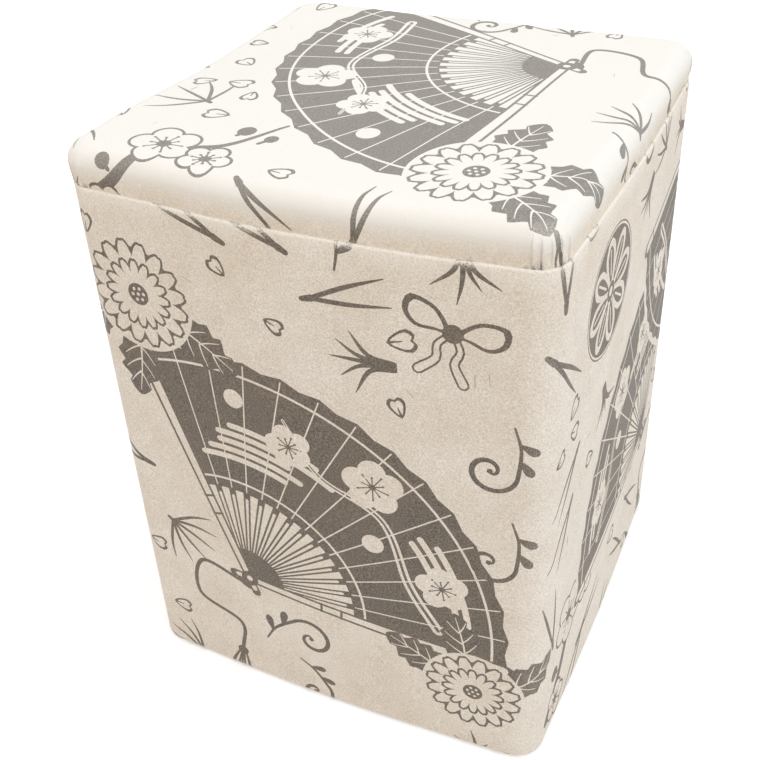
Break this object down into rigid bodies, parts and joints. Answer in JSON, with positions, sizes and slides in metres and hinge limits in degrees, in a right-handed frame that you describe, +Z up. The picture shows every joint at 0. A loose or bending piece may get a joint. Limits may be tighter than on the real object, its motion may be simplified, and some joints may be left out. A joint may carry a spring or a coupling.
{
  "type": "tea caddy",
  "caption": "Square tea caddy: a paper-covered tinplate can with a flush plug lid that lifts off and a pressed inner lid with a knob.",
  "frame": {"origin": "middle of the foot, where the caddy stands", "axes": "+Z up along the lift of the lids, -Y towards the front face in the picture, +X towards the right face"},
  "size_m": [0.076, 0.076, 0.101],
  "materials": {
    "washi": null,
    "tinplate": "rolled tinplate, satin",
    "bright_tinplate": "bright tinplate, fine rolling grain",
    "knob_aluminium": "turned, satin",
    "steel": "plated, satin"
  },
  "bodies": {
    "body": {"body_wrap": "washi", "body_shell": "tinplate", "liner": "bright_tinplate", "base_plate": "tinplate", "base_paper": "washi"},
    "lid": {"lid_wrap": "washi", "lid_shell": "tinplate", "lid_collar": "bright_tinplate"},
    "inner_lid": {"inner_lid": "bright_tinplate", "inner_lid_knob": "knob_aluminium", "knob_rivet": "steel", "rivet_washer": "steel"}
  },
  "joints": [
    {"name": "lid_lift", "type": "slide", "parent": "body", "child": "lid", "axis": [0, 0, 1], "range_m": [0, 0.07]},
    {"name": "inner_lid_lift", "type": "slide", "parent": "body", "child": "inner_lid", "axis": [0, 0, 1], "range_m": [0, 0.035]}
  ],
  "couplings": [
    {"joint": "inner_lid_lift", "follows": "lid_lift", "ratio": 0.5}
  ]
}
